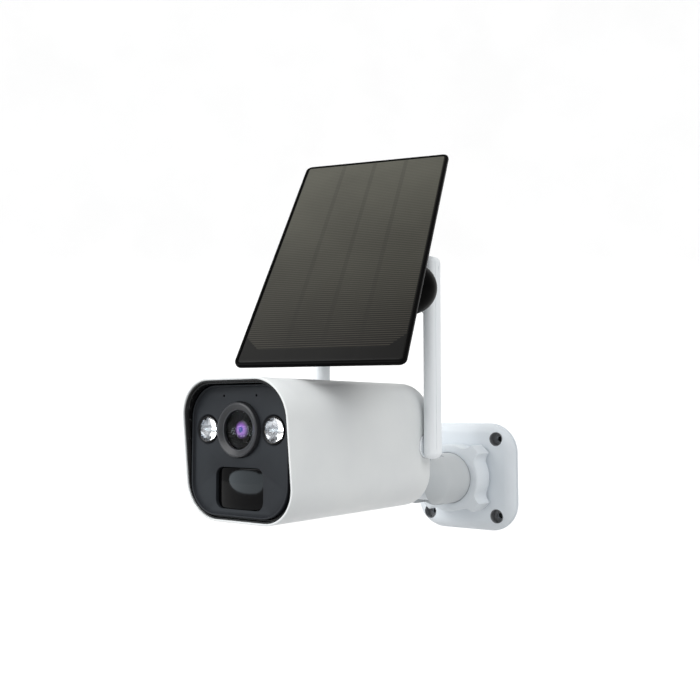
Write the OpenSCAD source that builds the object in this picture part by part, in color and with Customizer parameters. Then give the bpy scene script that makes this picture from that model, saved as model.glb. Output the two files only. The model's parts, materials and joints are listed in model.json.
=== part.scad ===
// Solar-powered security camera on a wall bracket.
// The wall is the plane Y = 0, the camera looks along -Y and +Z is up.
// The origin is the middle of the wall plate's back face.

/* [Camera body] */
// Width and height of the square body
body_size = 76; // [74:0.5:78]
// Radius of the body's long corners
body_corner_r = 21; // [18:0.5:22]
// Length from the rear wall to the middle of the front rim
body_length = 137.8; // [134:0.2:142]
// Wall thickness of the body
body_wall = 2.4; // [2:0.1:2.6]
// Radius of the edge between the sides and the rear wall
rear_edge_r = 8; // [6:0.5:9]
// Lean of the front rim, top forward, in degrees
rim_lean = 6; // [4:0.5:6.5]
// Height of the body's centre above the bracket's axis
body_z = 27.1; // [26:0.1:28]

/* [Front face] */
// Visible thickness of the white rim
rim_wall = 1.2; // [1:0.1:1.4]
// Thickness of the black liner inside the rim
liner_wall = 1.7; // [1.4:0.1:1.9]
// Depth of the face plate behind the middle of the rim
face_depth = 3.8; // [3.6:0.1:4]
// Height of the lens and lamps above the body's centre
lens_z = 10.8; // [10:0.1:11.5]
// Outer radius of the lens ring
lens_ring_r = 14.4; // [13.8:0.1:14.8]
// Radius of the lens's front glass
lens_glass_r = 10.3; // [9.8:0.1:10.8]
// Distance of each lamp from the centre plane
lamp_x = 23.6; // [23:0.1:24]
// Radius of each lamp's reflector
lamp_r = 6.9; // [6.4:0.1:7.2]
// Width of the motion sensor's window
pir_w = 33.4; // [30:0.1:35]
// Height of the motion sensor's window
pir_h = 21.4; // [20:0.1:24]

/* [Wall bracket] */
// Width of the wall plate
plate_w = 82; // [79:0.5:84]
// Height of the wall plate
plate_h = 78; // [76:0.5:82]
// Thickness of the wall plate
plate_t = 9.5; // [8.5:0.5:10]
// Distance between the screw holes, both ways
hole_spacing = 55.3; // [52:0.1:58]
// Diameter of the screw holes
hole_d = 4.5; // [4:0.1:5.5]
// Outer radius of the lock nut's ring
nut_r = 23.8; // [23:0.1:24.5]
// Radius of the lock nut's four ears
nut_ear_r = 29.5; // [29:0.5:31.5]
// Radius of the swivel head inside the lock nut
head_r = 18; // [17:0.1:18.4]

/* [Antennas] */
// Thickness of an antenna, across the body
antenna_t = 8.5; // [8:0.1:9]
// Width of an antenna, along the body
antenna_w = 12.9; // [12:0.1:13.5]
// Length of an antenna
antenna_length = 124.1; // [118:0.1:128]
// Height of the hinge above the antenna's lower end
antenna_hinge_h = 7.5; // [7:0.1:9]

/* [Solar panel] */
// Width of the panel
panel_w = 96.3; // [90:0.1:98]
// Height of the panel
panel_h = 175.4; // [165:0.1:178]
// Thickness of the panel's edge
panel_edge = 3; // [2.8:0.1:3.2]
// Turn of the panel about the vertical, in degrees
panel_turn = 17.9; // [10:0.1:18]
// Lean of the panel back from the vertical, in degrees
panel_lean = 38; // [38:0.5:50]
// Radius of the domed tilt knobs
knob_r = 16.1; // [14:0.1:16.2]

/* [Hidden] */
$fn = 64;

// Clearances: a turning fit, a gap between neighbours and a cut's overrun
fit = 0.05;
gap = 0.3;
cut = 1;

// Wall bracket
plate_corner_r = 21;
plate_edge_r = 8;
counterbore_d = 10;
counterbore_depth = 6.5;
boss_r = 20.8;
boss_front_y = -19;
spigot_floor_t = 3;
spigot_r = 12;
spigot_length = 13;
gasket_size = 43.6;
gasket_r = 7.8;
washer_t = 1.6;
nut_back_y = -11.3;
nut_front_y = -30.4;
nut_lip_y = -25.3;
ear_slope = 4;
flange_back_y = boss_front_y - washer_t - 0.2;

// Tilt hinge between the swivel head and the neck
dome_y = -60;
hinge_y = -62;
tongue_r = 13;
slot_x = 8;
bolt_r = 4;
bolt_end_x = 14;
bolt_head_x = 13.6;
bolt_head_r = 5.2;
bolt_head_t = 2.4;
neck_r = 10.5;
neck_z = 12;
neck_start_y = -77;
neck_end_y = -107.6;
neck_slant = atan2(neck_z, hinge_y - neck_end_y);
neck_flange_r = 14.5;
neck_spigot_r = 8;
neck_boss_y = -119.8;
neck_boss_r = 12;
retainer_thread_r = 1.6;
hex_key_r = 2.6;

// Body planes
rear_y = -111.7;
rim_y = rear_y - body_length;
face_y = rim_y + face_depth;
body_floor_z = body_z - body_size / 2;
optics_z = body_z + lens_z;
pir_z = body_z - 19.8;
mic_x = 11.7;
mic_z = body_z + 28.7;
face_t = 2.6;
face_size = body_size - 2 * (rim_wall + liner_wall) - 0.4;
face_corner_r = body_corner_r - rim_wall - liner_wall - 0.2;
inner_size = body_size - 2 * body_wall;
inner_corner_r = body_corner_r - body_wall;
liner_depth = 11.5;
barrel_r = 9;
barrel_bore_r = 6;
pir_corner_r = 4.6;
pir_bulge_r = 60.6;

// Antennas
antenna_gap = 1;
antenna_x = body_size / 2 + antenna_gap + antenna_t / 2;
antenna_y = -122.3;
antenna_z = 26.4;
antenna_pin_r = 3;
antenna_seat_r = 7.1;
antenna_seat_depth = 1.5;

// Service port in the underside
port_y = -160;
socket_w = 9;
card_w = 11;
push_button_r = 2;
speaker_y = -212;
board_y = -226;
board_z = body_z + 4;
cell_r = 9.2;
cell_pitch = 20.5;
cell_back_y = -128;
cell_length = 64;
cell_z = body_z + 3;
port_w = 32;
port_d = 17;
cover_bead_r = 1;
button_x = 12;
reset_x = -12;

// Solar arm, pan pivot and tilt pivot
arm_r = 5;
arm_foot_z = 46;
arm_back_y = -50.6;
arm_top_z = 123;
arm_bend_r = 13;
arm_screw_x = 8.5;
arm_screw_r = 1.5;
pan_y = -115.8;
pan_boss_r = 9;
pan_bolt_r = 3;
pan_split_z = 117.4;
hub_bottom_z = 106;
pan_bolt_z = 100;
link_length = 51;
tilt_z = 119.2;
tilt_r = 9;
barrel_half = 11;
ear_inner = 11.4;
ear_outer = 17;
knob_x = 33.4;
knob_skirt = 2;
knob_neck_r = 8;
axle_half = 38;

// Panel face relative to the tilt axis
face_above_axis = 22.3;
centre_above_axis = 10.8;
panel_corner_r = 4;
panel_t = 5;
frame_border = 2;
pocket_depth = 1.6;
hinge_screw_x = 20;
hinge_screw_y = 6.5;
cable_y = -58;

// ---- helpers -------------------------------------------------------------

// Plate with round corners, in the XY plane
module rounded_rect(w, h, r) {
    square([w - 2 * r, h], center = true);
    square([w, h - 2 * r], center = true);
    for (sx = [-1, 1], sy = [-1, 1])
        translate([sx * (w / 2 - r), sy * (h / 2 - r)]) circle(r);
}

// Extrudes children forward, from the plane y for a length
module forward(y, length) {
    translate([0, y, 0]) rotate([90, 0, 0]) linear_extrude(length) children();
}

// Cylinder along Y, from the plane y forward for a length
module rod_y(y, length, r, x = 0, z = 0) {
    translate([x, y, z]) rotate([90, 0, 0]) cylinder(h = length, r = r);
}

// Cylinder along X, between two planes
module rod_x(x0, x1, r, y, z) {
    translate([x0, y, z]) rotate([0, 90, 0]) cylinder(h = x1 - x0, r = r);
}

// Tube along Y
module ring_y(y, length, r_out, r_in, x = 0, z = 0) {
    difference() {
        rod_y(y, length, r_out, x, z);
        rod_y(y + cut, length + 2 * cut, r_in, x, z);
    }
}

// Block with round corners that rises from z = 0 and whose edge at z = 0 is rounded
module edged_block(w, h, r, edge, height) {
    for (sx = [-1, 1], sy = [-1, 1])
        translate([sx * (w / 2 - r), sy * (h / 2 - r), 0]) rotate_extrude()
            edged_profile(r, edge, height);
    rotate([90, 0, 90]) translate([0, 0, -(w / 2 - r)]) linear_extrude(w - 2 * r)
        double_edged_profile(h, edge, height);
    rotate([90, 0, 0]) translate([0, 0, -(h / 2 - r)]) linear_extrude(h - 2 * r)
        double_edged_profile(w, edge, height);
}

// Half of an edged block's section, from the axis out to r
module edged_profile(r, edge, height) {
    square([r - edge, height]);
    translate([0, edge]) square([r, height - edge]);
    intersection() {
        translate([r - edge, edge]) circle(edge);
        square([r, height]);
    }
}

// Full section of an edged block
module double_edged_profile(w, edge, height) {
    translate([-(w / 2 - edge), 0]) square([w - 2 * edge, height]);
    translate([-w / 2, edge]) square([w, height - edge]);
    intersection() {
        for (side = [-1, 1]) translate([side * (w / 2 - edge), edge]) circle(edge);
        translate([-w / 2, 0]) square([w, height]);
    }
}

// Removes what lies in front of the leaning rim, moved back by an offset
module rim_cutter(offset_y = 0) {
    translate([0, rim_y + offset_y, body_z]) rotate([rim_lean, 0, 0])
        translate([-body_size, -body_size, -body_size])
            cube([2 * body_size, body_size, 2 * body_size]);
}

// ---- wall bracket --------------------------------------------------------

module wall_plate() {
    color("whitesmoke") difference() {
        union() {
            translate([0, -plate_t, 0]) rotate([-90, 0, 0])
                edged_block(plate_w, plate_h, plate_corner_r, plate_edge_r, plate_t);
            rod_y(-plate_t + cut, -boss_front_y - plate_t + cut, boss_r);
        }
        rod_y(-spigot_floor_t, -boss_front_y, spigot_r + fit);
        for (sx = [-1, 1], sz = [-1, 1]) {
            rod_y(cut, plate_t + 2 * cut, hole_d / 2, sx * hole_spacing / 2,
                  sz * hole_spacing / 2);
            rod_y(-(plate_t - counterbore_depth), plate_t, counterbore_d / 2,
                  sx * hole_spacing / 2, sz * hole_spacing / 2);
        }
        forward(cut, 2 * cut)
            rounded_rect(gasket_size + 0.4, gasket_size + 0.4, gasket_r + 0.2);
    }
}

module wall_gasket() {
    color("dimgray") forward(0, cut - fit) rounded_rect(gasket_size, gasket_size, gasket_r);
}

// One ear of the lock nut, pointing along +X
module nut_ear() {
    tip = 8.5;
    foot = 21.5;
    scoop = 7;
    difference() {
        intersection() {
            circle(nut_ear_r);
            polygon([[0, 0], [2 * nut_r * cos(foot), -2 * nut_r * sin(foot)],
                     [2 * nut_r * cos(foot), 2 * nut_r * sin(foot)]]);
        }
        for (side = [-1, 1]) rotate(side * foot) translate([nut_r + scoop, 0]) circle(scoop);
    }
}

module lock_nut() {
    color("gainsboro") difference() {
        forward(nut_back_y, nut_back_y - nut_front_y) union() {
            circle(nut_r);
            for (turn = [45:90:315]) rotate(turn) nut_ear();
        }
        rod_y(nut_back_y + cut, nut_back_y - nut_lip_y + cut, boss_r + 0.3);
        rod_y(nut_back_y, 2 * nut_r, head_r + 0.15);
        // front edge of the ring and of the ears, turned down by a cone
        translate([0, nut_front_y, 0]) rotate([90, 0, 0]) rotate_extrude()
            polygon([[nut_r - 1, 0.1], [nut_ear_r + 3, 0.1], [nut_ear_r + 3, -ear_slope]]);
    }
}

module friction_washer() {
    color("dimgray") ring_y(boss_front_y - 0.05, washer_t, boss_r - 0.5, spigot_r + 0.3);
}

module swivel_head() {
    body_back_y = flange_back_y - cut;
    slot_back_y = hinge_y + tongue_r + 0.8;
    slot_front_y = dome_y - head_r - cut;
    slot_h = 4 * head_r;
    color("gainsboro") difference() {
        union() {
            rod_y(flange_back_y + spigot_length, spigot_length + cut, spigot_r);
            rod_y(flange_back_y, flange_back_y - nut_lip_y - 0.2, boss_r - 0.2);
            // smooth body with a domed front
            translate([0, dome_y, 0]) rotate([90, 0, 0]) rotate_extrude() {
                translate([0, dome_y - body_back_y]) square([head_r, body_back_y - dome_y]);
                intersection() {
                    circle(head_r);
                    square(head_r);
                }
            }
        }
        translate([-slot_x, slot_front_y, -slot_h / 2])
            cube([2 * slot_x, slot_back_y - slot_front_y, slot_h]);
        // the bolt goes in from the left and ends inside the right cheek
        rod_x(-2 * head_r, bolt_end_x + 0.2, bolt_r + fit, hinge_y, 0);
        rod_x(-2 * head_r, -bolt_head_x + fit, bolt_head_r + gap, hinge_y, 0);
    }
}

module tilt_bolt() {
    color("silver") difference() {
        union() {
            rod_x(-bolt_head_x - cut, bolt_end_x, bolt_r, hinge_y, 0);
            rod_x(-bolt_head_x - bolt_head_t, -bolt_head_x, bolt_head_r, hinge_y, 0);
        }
        translate([-bolt_head_x - bolt_head_t - cut, hinge_y, 0]) rotate([0, 90, 0])
            cylinder(h = bolt_head_t, r = hex_key_r, $fn = 6);
    }
}

// The neck slants from the tilt hinge up to the roll joint in the rear wall
module camera_neck() {
    tongue_x = slot_x - gap;
    bar_h = 12;
    bar_z = (neck_start_y - hinge_y) / (neck_end_y - hinge_y) * neck_z;
    color("whitesmoke") difference() {
        union() {
            rod_x(-tongue_x, tongue_x, tongue_r, hinge_y, 0);
            translate([-tongue_x, neck_start_y - cut, bar_z - bar_h / 2])
                cube([2 * tongue_x, hinge_y - neck_start_y + cut, bar_h]);
            intersection() {
                translate([0, hinge_y, 0]) rotate([90 - neck_slant, 0, 0])
                    cylinder(h = body_size, r = neck_r);
                translate([-body_size / 2, neck_end_y - cut, -body_size / 2])
                    cube([body_size, neck_start_y - neck_end_y + cut, body_size]);
            }
            rod_y(neck_end_y, neck_end_y - rear_y - gap, neck_flange_r, 0, neck_z);
            rod_y(neck_end_y - cut, neck_end_y - cut - neck_boss_y - 0.8, neck_spigot_r, 0,
                  neck_z);
        }
        rod_x(-2 * head_r, 2 * head_r, bolt_r + fit, hinge_y, 0);
        rod_y(neck_end_y, neck_end_y - neck_boss_y + cut, retainer_thread_r + fit, 0, neck_z);
    }
}

module neck_retainer() {
    washer_y = neck_boss_y - 0.2;
    thread_back_y = neck_end_y - 4;
    color("silver") union() {
        rod_y(washer_y, washer_t, neck_boss_r - cut, 0, neck_z);
        rod_y(washer_y - washer_t + 0.1, 2.2, 2 * retainer_thread_r, 0, neck_z);
        rod_y(thread_back_y, thread_back_y - washer_y + cut, retainer_thread_r, 0, neck_z);
    }
}

// ---- camera body ---------------------------------------------------------

module body_shell() {
    color("whitesmoke") difference() {
        union() {
            difference() {
                translate([0, rear_y, body_z]) rotate([90, 0, 0])
                    edged_block(body_size, body_size, body_corner_r, rear_edge_r,
                                body_length + 6);
                translate([0, rear_y - body_wall, body_z]) rotate([90, 0, 0])
                    edged_block(inner_size, inner_size, inner_corner_r,
                                rear_edge_r - body_wall, body_length);
            }
            rod_y(rear_y - 1, rear_y - 1 - neck_boss_y, neck_boss_r, 0, neck_z);
        }
        rim_cutter();
        // rebate for the liner
        translate([0, rim_y + liner_depth, body_z]) rotate([90, 0, 0]) linear_extrude(40)
            rounded_rect(body_size - 2 * rim_wall, body_size - 2 * rim_wall,
                         body_corner_r - rim_wall);
        rod_y(rear_y + cut, 20, neck_spigot_r + fit, 0, neck_z);
        // holes and round seats of the antenna hinges
        for (side = [0, 1]) mirror([side, 0, 0]) {
            rod_x(body_size / 4, body_size, antenna_pin_r + fit, antenna_y, antenna_z);
            rod_x(body_size / 2 - antenna_seat_depth, body_size, antenna_seat_r + fit,
                  antenna_y, antenna_z);
        }
        // service port, speaker holes and arm screw holes
        translate([-port_w / 2, port_y - port_d / 2, body_floor_z - cut])
            cube([port_w, port_d, body_wall + 2 * cut]);
        for (turn = [0:60:300])
            translate([0, speaker_y, 0]) rotate(turn) translate([5, 0, body_floor_z - cut])
                cylinder(h = 5, r = 0.9);
        for (side = [-1, 1])
            rod_y(rear_y + cut, 10, arm_screw_r + 0.1, side * arm_screw_x, arm_foot_z);
    }
}

module front_liner() {
    outer = body_size - 2 * rim_wall - 0.2;
    outer_r = body_corner_r - rim_wall - 0.1;
    color("black") difference() {
        translate([0, rim_y + liner_depth - 0.1, body_z]) rotate([90, 0, 0])
            linear_extrude(40) difference() {
                rounded_rect(outer, outer, outer_r);
                rounded_rect(outer - 2 * liner_wall, outer - 2 * liner_wall,
                             outer_r - liner_wall);
            }
        rim_cutter(0.7);
    }
}

module face_seal() {
    color("dimgray") forward(face_y + face_t + 1.3, 1.2) translate([0, body_z])
        difference() {
            rounded_rect(face_size - 1, face_size - 1, face_corner_r - 0.5);
            rounded_rect(face_size - 7, face_size - 7, face_corner_r - 3.5);
        }
}

module face_plate() {
    color([0.25, 0.26, 0.27]) difference() {
        forward(face_y + face_t, face_t) translate([0, body_z])
            rounded_rect(face_size - 0.4, face_size - 0.4, face_corner_r - 0.2);
        rod_y(face_y + 10, 20, lens_ring_r + 0.2, 0, optics_z);
        for (side = [-1, 1]) {
            rod_y(face_y + 10, 20, lamp_r + 0.5, side * lamp_x, optics_z);
            rod_y(face_y + 10, 20, 0.5, side * mic_x, mic_z);
        }
        forward(face_y + 10, 20) translate([0, pir_z]) rounded_rect(pir_w + 0.4, pir_h + 0.4,
                                                               pir_corner_r + 0.2);
    }
}

// ---- lens, lamps and sensors ---------------------------------------------

module lens_ring() {
    color([0.35, 0.35, 0.37]) translate([0, face_y + face_t, optics_z]) rotate([90, 0, 0])
        rotate_extrude() polygon([[lens_glass_r + 0.1, 0], [lens_ring_r, 0],
            [lens_ring_r, face_t + 2.4], [lens_ring_r - 0.6, face_t + 2.9],
            [lens_ring_r - 1.2, face_t + 2.9], [lens_glass_r + 0.1, face_t + 1.2]]);
}

module lens_barrel() {
    color("black") difference() {
        union() {
            rod_y(face_y + face_t + 12, 11.8, barrel_r, 0, optics_z);
            rod_y(face_y + face_t + 2, 2 - 0.1, barrel_r + 3, 0, optics_z);
        }
        rod_y(face_y + face_t + 12 + cut, 20, barrel_bore_r, 0, optics_z);
    }
}

// Disc at the lens's height with a spherical front: depth behind the face plate's front,
// rise of the dome's middle in front of it, and the dome's radius
module domed_disc(r, depth, rise, dome_r, x) {
    translate([x, face_y + depth, optics_z]) rotate([90, 0, 0]) rotate_extrude()
        intersection() {
            square([r, depth + rise]);
            translate([0, depth + rise - dome_r]) circle(dome_r);
        }
}

module lens_front_glass() {
    color([0.1, 0.1, 0.14, 0.6]) domed_disc(lens_glass_r, face_t, 1, 18.5, 0);
}

module lens_rear_glass() {
    color([0.25, 0.15, 0.4, 0.6]) rod_y(face_y + face_t + 9, 3, barrel_bore_r - 0.1, 0,
                                               optics_z);
}

module image_sensor() {
    color("darkslategray") translate([-7, face_y + face_t + 12.2, optics_z - 7])
        cube([14, 1.6, 14]);
}

module lamp_reflector(side) {
    color("silver") translate([side * lamp_x, face_y + face_t, optics_z]) rotate([90, 0, 0])
        rotate_extrude() polygon([[1.8, -4], [3, -4], [lamp_r + 0.3, -1], [lamp_r + 0.3, 1.4],
            [lamp_r, 1.4], [lamp_r - 0.3, 0], [1.8, -3]]);
}

module lamp_reflector_left() { lamp_reflector(-1); }
module lamp_reflector_right() { lamp_reflector(1); }

module lamp_lens(side) {
    color([0.9, 0.95, 1, 0.5]) domed_disc(lamp_r, 1.1, 1.5, 13, side * lamp_x);
}

module lamp_lens_left() { lamp_lens(-1); }
module lamp_lens_right() { lamp_lens(1); }

module lamp_board() {
    color("darkgreen") difference() {
        forward(face_y + face_t + 6.2, 1.2) translate([0, optics_z]) rounded_rect(62, 24, 3);
        rod_y(0, 2 * body_length, barrel_r + 0.4, 0, optics_z);
    }
}

module pir_window() {
    color("black") intersection() {
        forward(face_y + face_t, 10) translate([0, pir_z]) rounded_rect(pir_w, pir_h, pir_corner_r);
        translate([0, face_y + pir_bulge_r - 0.6, 0])
            cylinder(h = pir_bulge_r, r = pir_bulge_r, center = true, $fn = 128);
    }
}

module pir_sensor() {
    color("silver") rod_y(face_y + face_t + 9, 4.5, 4.6, 0, pir_z);
}

module microphones() {
    color("goldenrod") for (side = [-1, 1])
        rod_y(face_y + face_t + 4.1, 2.6, 2, side * mic_x, mic_z);
}

module speaker() {
    color("dimgray") translate([0, speaker_y, body_floor_z + body_wall + 0.1]) union() {
        cylinder(h = 3, r = 13);
        translate([0, 0, 3]) cylinder(h = 3.5, r = 8);
    }
}

module main_board() {
    color("darkgreen") difference() {
        forward(board_y, 1.6) translate([0, board_z]) rounded_rect(58, 52, 4);
        for (sx = [-1, 1], sz = [-1, 1])
            rod_y(0, 2 * body_length, 1.5, sx * 25, board_z + sz * 22);
    }
}

module battery_cells() {
    color("steelblue") for (column = [-1:1]) union() {
        rod_y(cell_back_y, cell_length, cell_r, column * cell_pitch, cell_z);
        rod_y(cell_back_y - cell_length + cut, 2 * cut, 3, column * cell_pitch, cell_z);
    }
}

module battery_holder() {
    color("dimgray") difference() {
        forward(cell_back_y + 2, cell_length + 5) translate([0, cell_z]) rounded_rect(65, 23, 3);
        for (column = [-1:1])
            rod_y(cell_back_y + 0.5, cell_length + 2, cell_r + gap, column * cell_pitch, cell_z);
        translate([-body_size / 2, cell_back_y - cell_length + 5, cell_z + 3])
            cube([body_size, cell_length - 12, body_size / 2]);
    }
}

// ---- antennas ------------------------------------------------------------

module antenna_boss(side) {
    root_x = body_size / 2;
    color("whitesmoke") mirror([side < 0 ? 1 : 0, 0, 0]) difference() {
        union() {
            rod_x(root_x - antenna_seat_depth + fit, root_x + antenna_gap - 0.3, antenna_seat_r,
                  antenna_y, antenna_z);
            rod_x(root_x - 4, root_x + 5.2, antenna_pin_r, antenna_y, antenna_z);
            rod_x(root_x - 4, root_x - body_wall - 0.5, 4.6, antenna_y, antenna_z);
        }
        rod_x(root_x - 5, root_x + 6, 1, antenna_y, antenna_z);
    }
}

module antenna_boss_left() { antenna_boss(-1); }
module antenna_boss_right() { antenna_boss(1); }

// Flat-sided rod with round ends, standing on z = 0
module antenna_form(t, w, length) {
    r = t / 2;
    translate([0, 0, r]) linear_extrude(length - 2 * r) {
        square([t, w - t], center = true);
        for (side = [-1, 1]) translate([0, side * (w / 2 - r)]) circle(r);
    }
    for (z = [r, length - r]) {
        for (side = [-1, 1]) translate([0, side * (w / 2 - r), z]) sphere(r);
        translate([0, (w - t) / 2, z]) rotate([90, 0, 0]) cylinder(h = w - t, r = r);
    }
}

module antenna(side) {
    color("whitesmoke") difference() {
        translate([side * antenna_x, antenna_y, antenna_z - antenna_hinge_h])
            antenna_form(antenna_t, antenna_w, antenna_length);
        rod_x(side > 0 ? antenna_x - 10 : -antenna_x - 1.3,
              side > 0 ? antenna_x + 1.3 : -antenna_x + 10, antenna_pin_r + fit, antenna_y,
              antenna_z);
        translate([side * antenna_x, antenna_y, antenna_z + 12])
            cylinder(h = 92, r = 2.4);
    }
}

module antenna_left() { antenna(-1); }
module antenna_right() { antenna(1); }

module antenna_core(side) {
    color("goldenrod") translate([side * antenna_x, antenna_y, antenna_z + 13]) union() {
        cylinder(h = 88, r = 0.9);
        cylinder(h = 34, r = 2.1);
    }
}

module antenna_core_left() { antenna_core(-1); }
module antenna_core_right() { antenna_core(1); }

// ---- service port --------------------------------------------------------

module port_frame() {
    floor_z = body_floor_z + body_wall;
    color("black") difference() {
        translate([-port_w / 2 - 2, port_y - port_d / 2 - 2, floor_z + 0.1])
            cube([port_w + 4, port_d + 4, 7.5]);
        translate([-port_w / 2 + 1, port_y - port_d / 2 + 1, floor_z - cut])
            cube([port_w - 2, port_d - 2, 2.2]);
        translate([-socket_w / 2 - 0.2, port_y + 0.5, -body_size])
            cube([socket_w + 0.4, 3.7, 2 * body_size]);
        translate([-card_w / 2 - 0.7, port_y - 4.3, -body_size])
            cube([card_w + 1.4, 1.3, 2 * body_size]);
        for (x = [reset_x, button_x])
            translate([x, port_y, -body_size]) cylinder(h = 2 * body_size, r = push_button_r + gap);
    }
}

module usb_socket() {
    color("silver") difference() {
        translate([-socket_w / 2, port_y + 0.7, body_floor_z + body_wall + 1.4])
            cube([socket_w, 3.3, 6]);
        translate([-socket_w / 2 + 0.5, port_y + 1.2, body_floor_z + body_wall])
            cube([socket_w - 1, 2.3, 6.4]);
    }
}

module memory_card() {
    color("black") translate([-card_w / 2, port_y - 4, body_floor_z + body_wall + 1.5])
        cube([card_w, 0.8, 15]);
}

// Rubber flap with a pull tab in front, turning on a round bead along its rear edge
module port_cover() {
    half_w = port_w / 2 - gap;
    front_y = port_y - port_d / 2 + gap;
    bead_y = port_y + port_d / 2 - gap - cover_bead_r;
    color("gray") difference() {
        union() {
            translate([-half_w, front_y, body_floor_z])
                cube([2 * half_w, bead_y - front_y, 2 * cover_bead_r]);
            rod_x(-half_w, half_w, cover_bead_r, bead_y, body_floor_z + cover_bead_r);
            translate([-6, front_y, body_floor_z - 0.8]) cube([12, 2, 1.6]);
        }
        translate([-half_w + 1.7, front_y + 2.1, body_floor_z + 1.2])
            cube([2 * half_w - 3.4, port_d - 6, 2]);
    }
}

module push_button(x) {
    translate([x, port_y, body_floor_z + body_wall + 1.4]) cylinder(h = 4.2, r = push_button_r);
}

module reset_button() { color("gray") push_button(reset_x); }
module power_button() { color("gray") push_button(button_x); }

// ---- solar arm -----------------------------------------------------------

// Quarter bend in the YZ plane; the tube's axis starts at the origin along +Y and ends up +Z
module arm_bend() {
    translate([0, 0, arm_bend_r]) rotate([0, 90, 0])
        rotate_extrude(angle = 90) translate([arm_bend_r, 0]) circle(arm_r);
}

module solar_arm() {
    straight_z = arm_top_z - arm_foot_z - 2 * arm_bend_r;
    color("black") difference() {
        union() {
            forward(rear_y + 4.5, 4.4) translate([0, arm_foot_z]) rounded_rect(24, 15, 6);
            rod_y(arm_back_y - arm_bend_r, -rear_y + arm_back_y - arm_bend_r - 2, arm_r, 0,
                  arm_foot_z);
            translate([0, arm_back_y - arm_bend_r, arm_foot_z]) arm_bend();
            translate([0, arm_back_y, arm_foot_z + arm_bend_r])
                cylinder(h = straight_z, r = arm_r);
            translate([0, arm_back_y - arm_bend_r, arm_top_z]) mirror([0, 0, 1]) arm_bend();
            rod_y(arm_back_y - arm_bend_r, arm_back_y - arm_bend_r - pan_y, arm_r, 0, arm_top_z);
            translate([0, pan_y, pan_split_z + 0.2])
                cylinder(h = 2 * (arm_top_z - pan_split_z - 0.2), r = pan_boss_r);
        }
        translate([0, pan_y, pan_bolt_z]) cylinder(h = 60, r = pan_bolt_r + fit);
        for (side = [-1, 1])
            rod_y(rear_y + 20, 30, arm_screw_r + 0.2, side * arm_screw_x, arm_foot_z);
    }
}

module arm_screws() {
    color("silver") for (side = [-1, 1]) union() {
        rod_y(rear_y + 6.4, 1.8, 2.3, side * arm_screw_x, arm_foot_z);
        rod_y(rear_y + 5, 12, arm_screw_r, side * arm_screw_x, arm_foot_z);
    }
}

module pan_bolt() {
    top_z = pan_split_z + 0.2 + 2 * (arm_top_z - pan_split_z - 0.2);
    color("silver") difference() {
        union() {
            translate([0, pan_y, pan_bolt_z])
                cylinder(h = top_z - pan_bolt_z + 0.5, r = pan_bolt_r);
            translate([0, pan_y, top_z + 0.05]) cylinder(h = 3.4, r = 5.5);
        }
        translate([0, pan_y, top_z + 1.6]) cylinder(h = 4, r = hex_key_r, $fn = 6);
    }
}

module pan_nut() {
    color("silver") difference() {
        translate([0, pan_y, hub_bottom_z - 4.5]) cylinder(h = 4.2, r = 5.6, $fn = 6);
        translate([0, pan_y, hub_bottom_z - 20]) cylinder(h = 30, r = pan_bolt_r + fit);
    }
}

// Places children in the frame of the pan pivot, turned with the panel
module turned() {
    translate([0, pan_y, 0]) rotate(panel_turn) children();
}

// Places children on the tilt axis, X along it, Z along the panel's normal
module on_tilt_axis() {
    turned() translate([0, -link_length, tilt_z]) children();
}

// Places children on the panel's face: X across, Y up the panel, Z out of its face
module on_panel() {
    on_tilt_axis() rotate([90 - panel_lean, 0, 0])
        translate([0, centre_above_axis, face_above_axis]) children();
}

module tilt_link() {
    hub_h = pan_split_z - hub_bottom_z;
    color("black") difference() {
        turned() union() {
            translate([0, 0, hub_bottom_z]) cylinder(h = hub_h, r = pan_boss_r);
            translate([-7, -link_length, hub_bottom_z + 1.5]) cube([14, link_length, hub_h - 3]);
            translate([0, -link_length, tilt_z]) rotate([0, 90, 0])
                cylinder(h = 2 * barrel_half, r = tilt_r, center = true);
        }
        translate([0, pan_y, hub_bottom_z - 20]) cylinder(h = 60, r = pan_bolt_r + fit);
        on_tilt_axis() rotate([0, 90, 0])
            cylinder(h = 60, r = pan_bolt_r + fit, center = true);
    }
}

module tilt_axle() {
    color("silver") on_tilt_axis() rotate([0, 90, 0])
        cylinder(h = 2 * axle_half, r = pan_bolt_r, center = true);
}

module tilt_knob(side) {
    inner = ear_outer + 0.3;
    color("black") on_tilt_axis() mirror([side < 0 ? 1 : 0, 0, 0]) rotate([0, 90, 0])
        difference() {
            union() {
                translate([0, 0, inner]) cylinder(h = knob_x - inner, r = knob_neck_r);
                translate([0, 0, knob_x - knob_skirt]) cylinder(h = knob_skirt, r = knob_r);
                intersection() {
                    translate([0, 0, knob_x]) sphere(knob_r);
                    translate([0, 0, knob_x]) cylinder(h = knob_r + cut, r = knob_r + cut);
                }
            }
            cylinder(h = axle_half + 0.5, r = pan_bolt_r + fit);
        }
}

module tilt_knob_left() { tilt_knob(-1); }
module tilt_knob_right() { tilt_knob(1); }

// ---- solar panel ---------------------------------------------------------

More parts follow.
